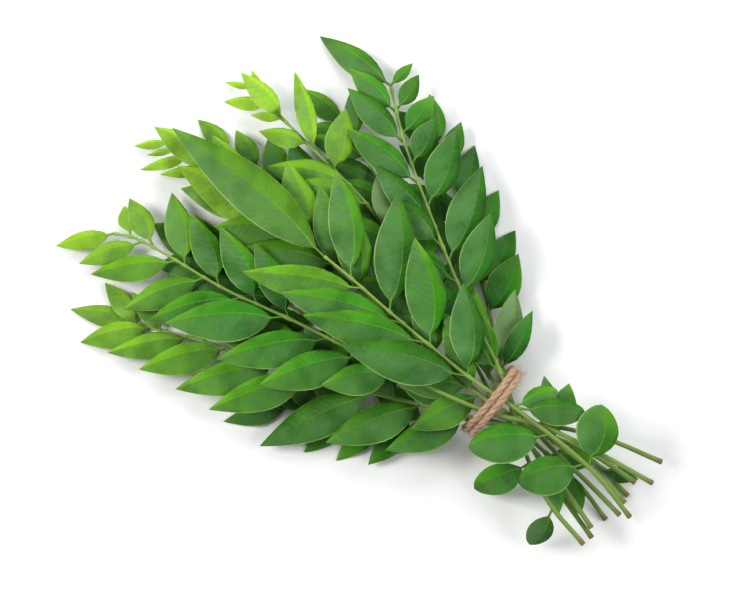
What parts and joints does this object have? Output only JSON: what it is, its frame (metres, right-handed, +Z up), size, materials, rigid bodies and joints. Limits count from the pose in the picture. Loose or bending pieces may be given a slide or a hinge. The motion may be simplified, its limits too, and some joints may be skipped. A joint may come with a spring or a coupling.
{
  "type": "tied bunch of curry leaf sprigs",
  "caption": "Tied bunch of curry leaf sprigs lying down: pinnate leaves fanned out from crossed stems, bound near the cut ends with jute twine, for dressing a kitchen or market scene.",
  "frame": {"origin": "middle of the bounding box's underside, on the surface that the bunch lies on", "axes": "+X along the bunch from the cut ends to the leaf tips, +Y to the left, +Z up from the surface"},
  "size_m": [0.2464, 0.1718, 0.0365],
  "materials": {
    "leaf_mature": "waxy satin leaf, deep green above and paler below",
    "leaf_young": "soft satin young leaf, yellow green",
    "leaf_shaded": "waxy satin leaf, dark green",
    "stem_green": "smooth green stem, brown where it is cut",
    "jute": "coarse hairy twisted twine"
  },
  "bodies": {
    "root": {"jute_tie": "jute", "leaflet_centre_01": "leaf_mature", "leaflet_centre_02": "leaf_mature", "leaflet_centre_03": "leaf_mature", "leaflet_centre_04": "leaf_mature", "leaflet_centre_05": "leaf_mature", "leaflet_centre_06": "leaf_mature", "leaflet_centre_07": "leaf_mature", "leaflet_centre_08": "leaf_mature", "leaflet_centre_09": "leaf_mature", "leaflet_centre_10": "leaf_mature", "leaflet_centre_11": "leaf_mature", "leaflet_centre_12": "leaf_mature", "leaflet_centre_13": "leaf_mature", "leaflet_centre_14": "leaf_mature", "leaflet_left_inner_01": "leaf_mature", "leaflet_left_inner_02": "leaf_mature", "leaflet_left_inner_03": "leaf_mature", "leaflet_left_inner_04": "leaf_mature", "leaflet_left_inner_05": "leaf_mature", "leaflet_left_inner_06": "leaf_mature", "leaflet_left_inner_07": "leaf_mature", "leaflet_left_inner_08": "leaf_mature", "leaflet_left_inner_09": "leaf_mature", "leaflet_left_inner_10": "leaf_mature", "leaflet_left_inner_11": "leaf_mature", "leaflet_left_inner_12": "leaf_mature", "leaflet_left_inner_13": "leaf_mature", "leaflet_left_inner_14": "leaf_mature", "leaflet_left_inner_15": "leaf_mature", "leaflet_left_inner_16": "leaf_mature", "leaflet_right_01": "leaf_mature", "leaflet_right_02": "leaf_mature", "leaflet_right_03": "leaf_mature", "leaflet_right_04": "leaf_mature", "leaflet_right_05": "leaf_mature", "leaflet_right_06": "leaf_mature", "leaflet_right_07": "leaf_mature", "leaflet_right_08": "leaf_mature", "leaflet_right_09": "leaf_mature", "leaflet_right_10": "leaf_mature", "leaflet_right_11": "leaf_mature", "leaflet_right_12": "leaf_mature", "leaflet_right_13": "leaf_mature", "leaflet_right_14": "leaf_mature", "leaflet_right_15": "leaf_mature", "leaflet_right_16": "leaf_mature", "leaflet_right_17": "leaf_mature", "leaflet_right_18": "leaf_mature", "sprig_inner_back": "leaf_shaded", "sprig_left_back": "leaf_shaded", "sprig_left_outer": "leaf_mature", "sprig_mid_back": "leaf_shaded", "sprig_mid_left": "leaf_young", "sprig_mid_right": "leaf_young", "sprig_right_back": "leaf_shaded", "sprig_right_inner": "leaf_shaded", "stem_centre": "stem_green", "stem_left_inner": "stem_green", "stem_right": "stem_green"}
  },
  "joints": []
}
